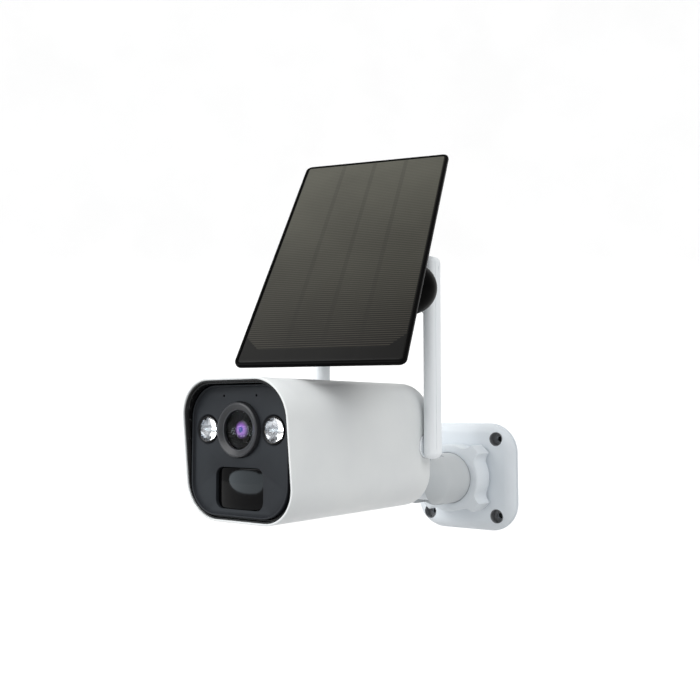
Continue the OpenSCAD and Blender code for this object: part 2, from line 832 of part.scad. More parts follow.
module panel_hinge() {
    plate_z = -panel_t;
    axis_z = -face_above_axis;
    axis_y = -centre_above_axis;
    color("black") on_panel() difference() {
        union() {
            translate([0, axis_y, plate_z - 2.5]) linear_extrude(2.4) rounded_rect(46, 20, 4);
            for (side = [-1, 1]) {
                translate([side > 0 ? ear_inner : -ear_outer, axis_y - tilt_r, axis_z])
                    cube([ear_outer - ear_inner, 2 * tilt_r, plate_z - axis_z - 1]);
                translate([side > 0 ? ear_inner : -ear_outer, axis_y, axis_z])
                    rotate([0, 90, 0]) cylinder(h = ear_outer - ear_inner, r = tilt_r);
            }
        }
        translate([0, axis_y, axis_z]) rotate([0, 90, 0])
            cylinder(h = 60, r = pan_bolt_r + fit, center = true);
        for (side = [-1, 1], end = [-1, 1])
            translate([side * hinge_screw_x, axis_y + end * hinge_screw_y, -30])
                cylinder(h = 40, r = 1.4);
    }
}

module hinge_screws() {
    color("silver") on_panel() for (side = [-1, 1], end = [-1, 1])
        translate([side * hinge_screw_x, end * hinge_screw_y - centre_above_axis, 0]) union() {
            translate([0, 0, -panel_t - 3.9]) cylinder(h = 1.35, r = 2.2);
            translate([0, 0, -panel_t - 3.9]) cylinder(h = 5, r = 1.2);
        }
}

module panel_frame() {
    color("black") on_panel() difference() {
        translate([0, 0, -panel_edge]) linear_extrude(panel_edge)
            rounded_rect(panel_w, panel_h, panel_corner_r);
        translate([0, 0, -pocket_depth]) linear_extrude(5)
            rounded_rect(panel_w - 2 * frame_border, panel_h - 2 * frame_border,
                         panel_corner_r - frame_border / 2);
    }
}

module panel_back() {
    color("black") on_panel() difference() {
        translate([0, 0, -panel_t]) linear_extrude(panel_t - panel_edge - 0.02)
            rounded_rect(panel_w - 12, panel_h - 12, panel_corner_r);
        for (side = [-1, 1], end = [-1, 1])
            translate([side * hinge_screw_x, end * hinge_screw_y - centre_above_axis, -10])
                cylinder(h = 20, r = 1.3);
    }
}

module solar_cells() {
    color([0.2, 0.2, 0.18]) on_panel() translate([0, 0, -pocket_depth + 0.02])
        linear_extrude(0.4)
            rounded_rect(panel_w - 2 * frame_border - 0.3, panel_h - 2 * frame_border - 0.3,
                         panel_corner_r - frame_border / 2 - 0.1);
}

module panel_glass() {
    color([0.3, 0.3, 0.3, 0.4]) on_panel() translate([0, 0, -pocket_depth + 0.45])
        linear_extrude(pocket_depth - 0.5)
            rounded_rect(panel_w - 2 * frame_border - 0.2, panel_h - 2 * frame_border - 0.2,
                         panel_corner_r - frame_border / 2 - 0.1);
}

module cable_outlet() {
    color("black") on_panel() translate([0, cable_y, -panel_t - 0.02]) difference() {
        translate([-9, -7, -6]) cube([18, 14, 6]);
        translate([0, 0, -3]) rotate([90, 0, 0]) cylinder(h = 20, r = 1.9);
    }
}

// ---- assembly ------------------------------------------------------------

wall_plate();
wall_gasket();
lock_nut();
friction_washer();
swivel_head();
tilt_bolt();
camera_neck();
neck_retainer();
body_shell();
front_liner();
face_seal();
face_plate();
lens_ring();
lens_barrel();
lens_front_glass();
lens_rear_glass();
image_sensor();
lamp_reflector_left();
lamp_reflector_right();
lamp_lens_left();
lamp_lens_right();
lamp_board();
pir_window();
pir_sensor();
microphones();
speaker();
main_board();
battery_cells();
battery_holder();
antenna_boss_left();
antenna_boss_right();
antenna_left();
antenna_right();
antenna_core_left();
antenna_core_right();
port_frame();
usb_socket();
memory_card();
port_cover();
reset_button();
power_button();
solar_arm();
arm_screws();
pan_bolt();
pan_nut();
tilt_link();
tilt_axle();
tilt_knob_left();
tilt_knob_right();
panel_hinge();
hinge_screws();
panel_frame();
panel_back();
solar_cells();
panel_glass();
cable_outlet();
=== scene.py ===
"""Looks for the solar-powered security camera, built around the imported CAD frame."""

import json
import math

import bmesh
import bpy
from mathutils import Matrix, Vector


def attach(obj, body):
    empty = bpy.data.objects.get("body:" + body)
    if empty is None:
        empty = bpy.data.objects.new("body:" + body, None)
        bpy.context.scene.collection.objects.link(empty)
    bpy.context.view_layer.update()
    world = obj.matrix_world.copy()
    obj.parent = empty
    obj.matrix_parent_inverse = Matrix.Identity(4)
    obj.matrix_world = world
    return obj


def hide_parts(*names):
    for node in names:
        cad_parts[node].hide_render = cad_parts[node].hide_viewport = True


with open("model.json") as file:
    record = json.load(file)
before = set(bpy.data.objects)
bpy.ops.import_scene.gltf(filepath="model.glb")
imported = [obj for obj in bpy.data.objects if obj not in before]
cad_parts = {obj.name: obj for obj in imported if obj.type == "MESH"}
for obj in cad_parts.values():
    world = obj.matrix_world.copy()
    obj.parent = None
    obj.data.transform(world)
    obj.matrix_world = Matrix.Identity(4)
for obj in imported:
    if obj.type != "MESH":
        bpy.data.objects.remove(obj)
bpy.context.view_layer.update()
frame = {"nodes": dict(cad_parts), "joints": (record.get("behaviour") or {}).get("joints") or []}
MM = 0.001
joints = {j["name"]: j for j in frame["joints"]}

# ---- sizes in millimetres, as in the CAD source ---------------------------

BODY = 76.0
BODY_CORNER = 21.0
BODY_WALL = 2.4
REAR_EDGE = 8.0
BODY_Z = 27.1
REAR_Y = -111.7
RIM_Y = -249.5
RIM_SLOPE = math.tan(math.radians(6))
RIM_WALL = 1.2
RIM_DEPTH = 11.5
LINER_WALL = 1.7
FACE_Y = -245.7
FACE_T = 2.6
FACE_SIZE = 69.4
FACE_CORNER = 17.7
OPTICS_Z = 37.9
RING_R = 14.4
GLASS_R = 10.3
LAMP_X = 23.6
LAMP_R = 6.9
PIR_Z = 7.3
PIR_W, PIR_H, PIR_CORNER = 33.4, 21.4, 4.6
PIR_BULGE_R = 60.6
MIC_X, MIC_Z = 11.7, 55.8
PLATE_W, PLATE_H, PLATE_T, PLATE_CORNER, PLATE_EDGE = 82.0, 78.0, 9.5, 21.0, 8.0
HOLE_SPACING, HOLE_R, COUNTERBORE_R, COUNTERBORE_D = 55.3, 2.25, 5.0, 6.5
BOSS_R, BOSS_Y = 20.8, -19.0
BORE_R, BORE_FLOOR = 12.1, 3.0
NUT_R, EAR_R, NUT_BACK, NUT_FRONT, NUT_LIP = 23.8, 29.5, -11.3, -30.4, -25.3
HEAD_R, DOME_Y, HINGE_Y = 18.0, -60.0, -62.0
SLOT_X, TONGUE_R = 8.0, 13.0
ANTENNA_T, ANTENNA_W, ANTENNA_L = 8.5, 12.9, 124.1
ANTENNA_X, ANTENNA_Y, ANTENNA_Z, ANTENNA_BELOW = 43.25, -122.3, 26.4, 7.5
SEAT_R, SEAT_D = 7.1, 1.5
PORT_Y, PORT_W, PORT_D = -160.0, 32.0, 17.0
SOUND_HOLES, SOUND_HOLE_R, SOUND_R, SOUND_Y = 6, 0.9, 5.0, -212.0
PANEL_W, PANEL_H, PANEL_EDGE, PANEL_T = 96.3, 175.4, 3.0, 5.0
PANEL_CORNER, PANEL_BORDER = 4.0, 2.0
PANEL_LEAN = math.radians(38)
FACE_ABOVE_AXIS, CENTRE_ABOVE_AXIS = 22.3, 10.8
KNOB_R, KNOB_X = 16.1, 33.4

# ---- mesh helpers ---------------------------------------------------------


def rounded_square(w, h, r, steps=12):
    """Points (x, z) round a rectangle with round corners, the same number for every size."""
    points = []
    r = max(r, 0.01)
    for corner, (sx, sz) in enumerate(((1, 1), (-1, 1), (-1, -1), (1, -1))):
        cx, cz = sx * (w / 2 - r), sz * (h / 2 - r)
        for i in range(steps + 1):
            a = math.pi / 2 * (corner + i / steps)
            points.append((cx + r * math.cos(a), cz + r * math.sin(a)))
    return points


def finish_mesh(name, mesh, material, body, nodes=(), matrix=None, sharp=38, local=False):
    """Turns a mesh in millimetres into a piece that rides on a body.

    A local piece keeps its own axes, which its material uses; another takes the row frame's.
    """
    bm = bmesh.new()
    bm.from_mesh(mesh)
    bmesh.ops.remove_doubles(bm, verts=bm.verts, dist=1e-4)
    bmesh.ops.recalc_face_normals(bm, faces=bm.faces)
    bmesh.ops.scale(bm, vec=(MM, MM, MM), verts=bm.verts)
    bm.to_mesh(mesh)
    bm.free()
    mesh.shade_smooth()
    mesh.set_sharp_from_angle(angle=math.radians(sharp))
    mesh.materials.clear()
    mesh.materials.append(material)
    obj = bpy.data.objects.new(name, mesh)
    bpy.context.scene.collection.objects.link(obj)
    if matrix is not None and local:
        obj.matrix_world = matrix
    elif matrix is not None:
        mesh.transform(matrix)
    if body:
        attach(obj, body)
        if nodes:
            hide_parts(*nodes)
    return obj


def loft_mesh(name, rings, caps=(True, True), closed=False):
    """Mesh through rings of points of equal count; closed joins the last ring to the first."""
    verts = [tuple(p) for ring in rings for p in ring]
    n = len(rings[0])
    faces = []
    pairs = list(range(len(rings) - 1)) + ([len(rings) - 1] if closed else [])
    for k in pairs:
        a, b = k * n, ((k + 1) % len(rings)) * n
        for i in range(n):
            j = (i + 1) % n
            faces.append((a + i, a + j, b + j, b + i))
    if not closed:
        if caps[0]:
            faces.append(tuple(range(n)))
        if caps[1]:
            faces.append(tuple(reversed(range((len(rings) - 1) * n, len(rings) * n))))
    mesh = bpy.data.meshes.new(name)
    mesh.from_pydata(verts, [], faces)
    return mesh


def lathe_mesh(name, profile, centre, axis=(0, -1, 0), segments=96, closed=True):
    """Mesh of a profile of (radius, distance along the axis) turned about the axis."""
    turn = Vector(axis).to_track_quat("Z", "Y").to_matrix()
    rings = []
    for r, along in profile:
        ring = []
        for i in range(segments):
            a = 2 * math.pi * i / segments
            p = turn @ Vector((max(r, 0.0) * math.cos(a), max(r, 0.0) * math.sin(a), along))
            ring.append(Vector(centre) + p)
        rings.append(ring)
    return loft_mesh(name, rings, caps=(False, False), closed=closed)


def arc(cr, ca, r, start, end, steps=6):
    """Points of a profile's arc about (cr, ca), angles in degrees from the radius direction."""
    angles = [math.radians(start + (end - start) * i / steps) for i in range(steps + 1)]
    return [(cr + r * math.cos(a), ca + r * math.sin(a)) for a in angles]


def cutter(mesh):
    """Object, in metres, for a boolean; cut removes it afterwards."""
    bm = bmesh.new()
    bm.from_mesh(mesh)
    bmesh.ops.remove_doubles(bm, verts=bm.verts, dist=1e-4)
    bmesh.ops.recalc_face_normals(bm, faces=bm.faces)
    bmesh.ops.scale(bm, vec=(MM, MM, MM), verts=bm.verts)
    bm.to_mesh(mesh)
    bm.free()
    obj = bpy.data.objects.new("cutter", mesh)
    bpy.context.scene.collection.objects.link(obj)
    return obj


def bake(obj, sharp=38):
    """Applies the piece's modifiers to its mesh and keeps its parent and place."""
    bpy.context.view_layer.update()
    graph = bpy.context.evaluated_depsgraph_get()
    mesh = bpy.data.meshes.new_from_object(obj.evaluated_get(graph))
    obj.modifiers.clear()
    obj.data = mesh
    mesh.shade_smooth()
    mesh.set_sharp_from_angle(angle=math.radians(sharp))
    return obj


def cut(obj, meshes, sharp=38):
    """Cuts closed meshes, in millimetres and the row frame, out of a piece."""
    cutters = [cutter(m) for m in meshes]
    for c in cutters:
        modifier = obj.modifiers.new("cut", "BOOLEAN")
        modifier.operation = "DIFFERENCE"
        modifier.solver = "EXACT"
        modifier.object = c
    bake(obj, sharp)
    for c in cutters:
        bpy.data.objects.remove(c)
    return obj


def bevel(obj, width, segments=3, angle=40, sharp=38):
    """Rounds the piece's sharp edges by a width in millimetres."""
    modifier = obj.modifiers.new("edges", "BEVEL")
    modifier.width = width * MM
    modifier.segments = segments
    modifier.limit_method = "ANGLE"
    modifier.angle_limit = math.radians(angle)
    modifier.use_clamp_overlap = True
    return bake(obj, sharp)


def slab_mesh(name, w, h, r, y0, y1, z=0.0, x=0.0, edge=0.3, steps=10):
    """Block with round corners between two planes of Y, both edges rounded."""
    rings = []
    turns = [i * 30 for i in range(4)]
    sign = 1 if y1 > y0 else -1
    for t in turns:
        a = math.radians(t)
        inset = edge * (1 - math.sin(a))
        y = y0 + sign * edge * (1 - math.cos(a))
        rings.append((inset, y))
    for t in reversed(turns):
        a = math.radians(t)
        inset = edge * (1 - math.sin(a))
        y = y1 - sign * edge * (1 - math.cos(a))
        rings.append((inset, y))
    loops = [[(x + px, y, z + pz) for px, pz in
              rounded_square(w - 2 * i, h - 2 * i, r - i, steps)] for i, y in rings]
    return loft_mesh(name, loops)


# ---- materials ------------------------------------------------------------


def srgb(r, g, b):
    """Linear colour of 0..255 display values."""
    def channel(c):
        c /= 255
        return c / 12.92 if c <= 0.04045 else ((c + 0.055) / 1.055) ** 2.4
    return (channel(r), channel(g), channel(b), 1.0)


def shader(name):
    material = bpy.data.materials.new(name)
    material.use_nodes = True
    tree = material.node_tree
    return material, tree, tree.nodes["Principled BSDF"]


def node(tree, kind, **values):
    """New node; keys name its properties, or its inputs where no property has the name."""
    n = tree.nodes.new(kind)
    for key, value in values.items():
        if hasattr(n, key):
            setattr(n, key, value)
        else:
            n.inputs[key.replace("_", " ")].default_value = value
    return n


def noise_field(tree, scale, detail=3.0, stretch=(1, 1, 1)):
    coords = node(tree, "ShaderNodeTexCoord")
    mapping = node(tree, "ShaderNodeMapping")
    mapping.inputs["Scale"].default_value = stretch
    noise = node(tree, "ShaderNodeTexNoise")
    noise.inputs["Scale"].default_value = scale
    noise.inputs["Detail"].default_value = detail
    tree.links.new(coords.outputs["Object"], mapping.inputs["Vector"])
    tree.links.new(mapping.outputs["Vector"], noise.inputs["Vector"])
    return noise


def ramp(tree, source, low, high, start=0.35, end=0.65):
    n = node(tree, "ShaderNodeValToRGB")
    n.color_ramp.elements[0].position, n.color_ramp.elements[0].color = start, low
    n.color_ramp.elements[1].position, n.color_ramp.elements[1].color = end, high
    tree.links.new(source, n.inputs["Fac"])
    return n


def spread(tree, source, low, high):
    n = node(tree, "ShaderNodeMapRange")
    n.inputs["To Min"].default_value, n.inputs["To Max"].default_value = low, high
    tree.links.new(source, n.inputs["Value"])
    return n


def surface(name, low, high, rough, tone_scale=22.0, grain=1400.0, bump=0.05, metallic=0.0,
            coat=0.0, coat_rough=0.1, stretch=(1, 1, 1), specular=0.5, depth=0.05):
    """Moulded, painted or metal finish: mottled tone, uneven gloss and fine grain."""
    material, tree, bsdf = shader(name)
    tone = noise_field(tree, tone_scale, 4.0)
    colour = ramp(tree, tone.outputs["Fac"], low, high)
    tree.links.new(colour.outputs["Color"], bsdf.inputs["Base Color"])
    smudge = noise_field(tree, tone_scale * 3, 5.0)
    gloss = spread(tree, smudge.outputs["Fac"], rough[0], rough[1])
    tree.links.new(gloss.outputs["Result"], bsdf.inputs["Roughness"])
    fine = noise_field(tree, grain, 2.0, stretch)
    relief = node(tree, "ShaderNodeBump")
    relief.inputs["Strength"].default_value = bump
    relief.inputs["Distance"].default_value = depth * MM
    tree.links.new(fine.outputs["Fac"], relief.inputs["Height"])
    tree.links.new(relief.outputs["Normal"], bsdf.inputs["Normal"])
    bsdf.inputs["Metallic"].default_value = metallic
    bsdf.inputs["Specular IOR Level"].default_value = specular
    bsdf.inputs["Coat Weight"].default_value = coat
    bsdf.inputs["Coat Roughness"].default_value = coat_rough
    return material


def glass(name, low, high, rough=0.02, ior=1.49, tone_scale=60.0):
    """Clear moulded or ground glass with a faint tone change across it."""
    material, tree, bsdf = shader(name)
    tone = noise_field(tree, tone_scale, 2.0)
    colour = ramp(tree, tone.outputs["Fac"], low, high)
    tree.links.new(colour.outputs["Color"], bsdf.inputs["Base Color"])
    bsdf.inputs["Transmission Weight"].default_value = 1.0
    bsdf.inputs["Roughness"].default_value = rough
    bsdf.inputs["IOR"].default_value = ior
    return material


white_shell = surface("white_shell", srgb(222, 225, 226), srgb(228, 231, 231), (0.34, 0.42),
                      specular=0.3)
white_bracket = surface("white_bracket", srgb(219, 225, 230), srgb(225, 231, 236), (0.4, 0.5),
                        grain=900, bump=0.08, specular=0.3)
# painted shade: a darker, greyer copy of the bracket's white for the swivel head, which sits in
# shade behind the body
white_head_painted_shade = surface("white_head_painted_shade", srgb(192, 197, 200), srgb(199, 203, 205), (0.4, 0.5),
                     grain=900, bump=0.08, specular=0.3)
white_antenna = surface("white_antenna", srgb(242, 247, 250), srgb(246, 250, 253), (0.32, 0.4),
                        specular=0.4)
# painted shade: mid grey for the sleeves in the counterbores, standing in for the shade inside them
counterbore_painted_shade_grey = surface("counterbore_painted_shade_grey", srgb(128, 130, 133), srgb(138, 140, 143), (0.45, 0.6),
                    specular=0.2)
rubber = surface("rubber", srgb(34, 34, 36), srgb(42, 42, 44), (0.6, 0.75), bump=0.15,
                 specular=0.2)
steel = surface("steel", srgb(168, 168, 170), srgb(190, 190, 192), (0.25, 0.4), metallic=1.0,
                stretch=(1, 14, 1))
liner_black = surface("liner_black", srgb(6, 6, 7), srgb(10, 10, 11), (0.22, 0.32),
                      specular=0.22)
face_grey = surface("face_grey", srgb(32, 34, 38), srgb(37, 40, 44), (0.42, 0.52), bump=0.12,
                    specular=0.13)
lens_metal = surface("lens_metal", srgb(45, 46, 49), srgb(52, 53, 56), (0.3, 0.42),
                     specular=0.35)
barrel_black = surface("barrel_black", srgb(4, 4, 3), srgb(9, 8, 6), (0.2, 0.34),
                       specular=0.03)
black_plastic = surface("black_plastic", srgb(2, 2, 2), srgb(4, 4, 4), (0.3, 0.4),
                        bump=0.12, specular=0.03)
arm_black = surface("arm_black", srgb(16, 16, 17), srgb(22, 22, 23), (0.42, 0.55), grain=700,
                    bump=0.12, specular=0.25)
pir_black = surface("pir_black", srgb(2, 2, 3), srgb(4, 4, 5), (0.04, 0.08), bump=0.0,
                    specular=0.09)
# painted reflection: the mirror's colour swings from mid grey to near white in small patches, dark
# streaks standing in for the surroundings it reflects
mirror = surface("lamp_mirror", srgb(128, 132, 138), srgb(240, 241, 244), (0.06, 0.14),
                 metallic=1.0, tone_scale=300.0, grain=500.0, bump=0.25, depth=0.2)
lamp_glass = glass("lamp_glass", (0.93, 0.96, 0.98, 1), (1, 1, 1, 1))
front_glass = glass("front_glass", (0.90, 0.89, 0.91, 1), (0.95, 0.94, 0.96, 1), ior=1.1)
board_green = surface("board", srgb(12, 60, 34), srgb(18, 78, 46), (0.3, 0.45), tone_scale=180)
sensor_dark = surface("sensor", srgb(30, 30, 34), srgb(44, 44, 50), (0.2, 0.35))
brass = surface("brass", srgb(176, 140, 78), srgb(200, 164, 98), (0.25, 0.4), metallic=1.0)
cell_wrap = surface("cell_wrap", srgb(24, 70, 122), srgb(34, 84, 140), (0.2, 0.3))
grey_rubber = surface("grey_rubber", srgb(150, 152, 155), srgb(162, 164, 167), (0.5, 0.65),
                      bump=0.15)


def coated_lens_painted_glow():
    """Inner lens: dark glass whose coating shows purple, with a blue pupil in its middle; the
    colours are partly the coating's own tint and partly painted reflection, and they also glow as
    painted light.
    """
    material, tree, bsdf = shader("inner_glass")
    coords = node(tree, "ShaderNodeTexCoord")
    shifted = node(tree, "ShaderNodeVectorMath", operation="MULTIPLY")
    shifted.inputs[1].default_value = (1, 0, 1)
    tree.links.new(coords.outputs["Object"], shifted.inputs[0])
    length = node(tree, "ShaderNodeVectorMath", operation="LENGTH")
    tree.links.new(shifted.outputs[0], length.inputs[0])
    scaled = node(tree, "ShaderNodeMapRange")
    scaled.inputs["From Max"].default_value = 5.0 * MM
    tree.links.new(length.outputs["Value"], scaled.inputs["Value"])
    n = node(tree, "ShaderNodeValToRGB")
    stops = [(0.0, srgb(10, 12, 48)), (0.16, srgb(28, 44, 128)), (0.26, srgb(48, 40, 104)),
             (0.4, srgb(132, 90, 170)), (0.6, srgb(98, 62, 126)), (0.82, srgb(50, 34, 68)),
             (1.0, srgb(16, 13, 17))]
    while len(n.color_ramp.elements) < len(stops):
        n.color_ramp.elements.new(0.5)
    for element, (position, colour) in zip(n.color_ramp.elements, stops):
        element.position, element.color = position, colour
    tree.links.new(scaled.outputs["Result"], n.inputs["Fac"])
    tree.links.new(n.outputs["Color"], bsdf.inputs["Base Color"])
    # painted glow: the ring's colours are also emitted, so the lens shines though it is no lamp
    tree.links.new(n.outputs["Color"], bsdf.inputs["Emission Color"])
    bsdf.inputs["Emission Strength"].default_value = 0.38
    bsdf.inputs["Roughness"].default_value = 0.12
    bsdf.inputs["Specular IOR Level"].default_value = 0.1
    bsdf.inputs["Coat Weight"].default_value = 0.3
    bsdf.inputs["Coat Roughness"].default_value = 0.05
    return material


def solar_laminate():
    """Cells under a satin laminate: four columns, fine silver lines, plain margin all round."""
    material, tree, bsdf = shader("solar_cell")
    coords = node(tree, "ShaderNodeTexCoord")
    split = node(tree, "ShaderNodeSeparateXYZ")
    tree.links.new(coords.outputs["Object"], split.inputs["Vector"])

    def maths(operation, a, b=None):
        n = node(tree, "ShaderNodeMath", operation=operation)
        for socket, value in zip(n.inputs, (a, b)):
            if value is None:
                continue
            if isinstance(value, (int, float)):
                socket.default_value = value
            else:
                tree.links.new(value, socket)
        return n.outputs[0]

    x, y = split.outputs["X"], split.outputs["Y"]
    across = maths("ABSOLUTE", x)
    # cells' outline with chamfered corners
    half_w, half_h, chamfer = 0.0455, 0.0768, 0.009
    over_x = maths("SUBTRACT", across, half_w)
    over_y = maths("SUBTRACT", maths("MULTIPLY", y, -1.0), half_h)
    over_corner = maths("ADD", maths("ADD", over_x, over_y), chamfer)
    outside = maths("GREATER_THAN", maths("MAXIMUM", maths("MAXIMUM", over_x, over_y),
                                          over_corner), 0.0)
    inside = maths("SUBTRACT", 1.0, outside)
    # fine lines across the panel
    pitch = 0.00158
    wave = maths("SINE", maths("MULTIPLY", y, 2 * math.pi / pitch))
    line = maths("MULTIPLY", maths("GREATER_THAN", wave, 0.55), inside)
    # three darker bands between the four columns
    column = 0.0208
    phase = maths("MODULO", maths("ADD", across, column / 2), column)
    band = maths("LESS_THAN", maths("ABSOLUTE", maths("SUBTRACT", phase, column / 2)), 0.0013)
    band = maths("MULTIPLY", band, maths("LESS_THAN", across, 1.5 * column))
    tone = noise_field(tree, 16.0, 5.0)
    mottle = ramp(tree, tone.outputs["Fac"], (0.8, 0.8, 0.8, 1), (1.16, 1.16, 1.16, 1), 0.3, 0.7)
    # painted reflection and shade: the laminate's colour runs from near black at the bottom to a
    # lighter grey at the top, a little lighter towards one side
    rise = node(tree, "ShaderNodeMapRange")
    rise.inputs["From Min"].default_value = -PANEL_H / 2 * MM
    rise.inputs["From Max"].default_value = PANEL_H / 2 * MM
    tree.links.new(maths("ADD", y, maths("MULTIPLY", x, -0.25)), rise.inputs["Value"])
    fall = ramp(tree, rise.outputs["Result"], srgb(8, 7, 6), srgb(74, 74, 66), 0.0, 1.0)
    base = node(tree, "ShaderNodeMix", data_type="RGBA", blend_type="MULTIPLY")
    base.inputs["Factor"].default_value = 1.0
    tree.links.new(fall.outputs["Color"], base.inputs["A"])
    tree.links.new(mottle.outputs["Color"], base.inputs["B"])

    def mix(factor, first, second, amount):
        n = node(tree, "ShaderNodeMix", data_type="RGBA")
        tree.links.new(maths("MULTIPLY", factor, amount), n.inputs["Factor"])
        tree.links.new(first, n.inputs["A"])
        n.inputs["B"].default_value = second
        return n.outputs["Result"]

    colour = mix(line, base.outputs["Result"], srgb(112, 106, 96), 0.2)
    colour = mix(band, colour, srgb(30, 29, 26), 0.22)
    colour = mix(outside, colour, srgb(6, 6, 5), 0.7)
    tree.links.new(colour, bsdf.inputs["Base Color"])
    smudge = noise_field(tree, 40.0, 5.0)
    gloss = spread(tree, smudge.outputs["Fac"], 0.34, 0.46)
    tree.links.new(gloss.outputs["Result"], bsdf.inputs["Roughness"])
    fine = noise_field(tree, 900.0, 2.0)
    relief = node(tree, "ShaderNodeBump")
    relief.inputs["Strength"].default_value = 0.18
    relief.inputs["Distance"].default_value = 0.05 * MM
    tree.links.new(fine.outputs["Fac"], relief.inputs["Height"])
    tree.links.new(relief.outputs["Normal"], bsdf.inputs["Normal"])
    bsdf.inputs["Specular IOR Level"].default_value = 0.14
    return material


inner_glass = coated_lens_painted_glow()
solar_cell = solar_laminate()

# ---- wall bracket ---------------------------------------------------------


def round_cutter(x, z, r, y0, y1, flare=0.0):
    """Cylinder along Y to cut with, from y0 forward to y1, with a flared mouth at y1."""
    profile = [(0, 0), (r, 0), (r, y0 - y1 - flare), (r + flare, y0 - y1), (r + flare, y0 - y1 + 2),
               (0, y0 - y1 + 2)]
    return lathe_mesh("cutter", profile, (x, y0, z), segments=48, closed=False)


def wall_plate():
    """Plate with a stepped foot and a wide rounded edge, and the boss that the nut turns on."""
    foot, step = 1.9, 0.7
    rings = []
    for i in range(5):
        a = math.radians(22.5 * i)
        rings.append((0.6 * (1 - math.sin(a)), -0.6 * (1 - math.cos(a))))
    rings += [(0, -foot + 0.35), (0.1, -foot + 0.1), (0.35, -foot), (step - 0.1, -foot),
              (step, -foot - 0.1)]
    rise = PLATE_T - foot - 0.75
    for i in range(13):
        a = math.radians(7.5 * i)
        rings.append((step + (PLATE_EDGE - step) * (1 - math.cos(a)),
                      -PLATE_T + 0.35 + rise * (1 - math.sin(a))))
    rings += [(10.5, -PLATE_T + 0.22), (13, -PLATE_T + 0.06), (16, -PLATE_T)]
    loops = [[(px, y, pz) for px, pz in
              rounded_square(PLATE_W - 2 * i, PLATE_H - 2 * i, PLATE_CORNER - i, 14)]
             for i, y in rings]
    plate = finish_mesh("wall_plate_form", loft_mesh("wall_plate_form", loops), white_bracket,
                        "wall_bracket", ["wall_plate"])
    holes = []
    for sx in (-1, 1):
        for sz in (-1, 1):
            x, z = sx * HOLE_SPACING / 2, sz * HOLE_SPACING / 2
            holes.append(round_cutter(x, z, HOLE_R, 1.0, -PLATE_T - 1))
            holes.append(round_cutter(x, z, COUNTERBORE_R, -(PLATE_T - COUNTERBORE_D),
                                      -PLATE_T, 0.45))
    holes.append(round_cutter(0, 0, BORE_R, -BORE_FLOOR, -PLATE_T - 1))
    cut(plate, holes)
    # painted shade: dark grey sleeves line the counterbores and thin dark seals close the backs of
    # the screw holes, standing in for the shade deep in the holes
    for sx, across in ((-1, "left"), (1, "right")):
        for sz, level in ((-1, "lower"), (1, "upper")):
            place = (sx * HOLE_SPACING / 2, 0, sz * HOLE_SPACING / 2)
            profile = [(0, 0.15), (HOLE_R - 0.02, 0.15), (HOLE_R - 0.02, 0.35), (0.6, 0.4),
                       (0, 0.3)]
            name = "hole_shade_seal_" + level + "_" + across
            mesh = lathe_mesh(name, profile, place, segments=32, closed=False)
            finish_mesh(name, mesh, rubber, "wall_bracket")
            bottom, mouth = PLATE_T - COUNTERBORE_D, PLATE_T - 0.5
            profile = [(HOLE_R, bottom), (COUNTERBORE_R - 0.02, bottom),
                       (COUNTERBORE_R - 0.02, mouth), (COUNTERBORE_R - 0.2, mouth),
                       (COUNTERBORE_R - 0.2, bottom + 0.25), (HOLE_R, bottom + 0.2)]
            name = "screw_shade_sleeve_" + level + "_" + across
            mesh = lathe_mesh(name, profile, place, segments=48)
            finish_mesh(name, mesh, counterbore_painted_shade_grey, "wall_bracket")
    height = -BOSS_Y - PLATE_T
    profile = ([(BORE_R, 0), (BORE_R, height - 0.5), (BORE_R + 0.5, height)]
               + arc(BOSS_R - 0.8, height - 0.8, 0.8, 90, 0, 4)
               + [(BOSS_R, 1.2)] + arc(BOSS_R + 1.2, 1.2, 1.2, 180, 270, 4) + [(BOSS_R, -1)])
    boss = finish_mesh("wall_plate_boss", lathe_mesh("wall_plate_boss", profile,
                                                     (0, -PLATE_T, 0)),
                       white_bracket, "wall_bracket")
    return plate, boss


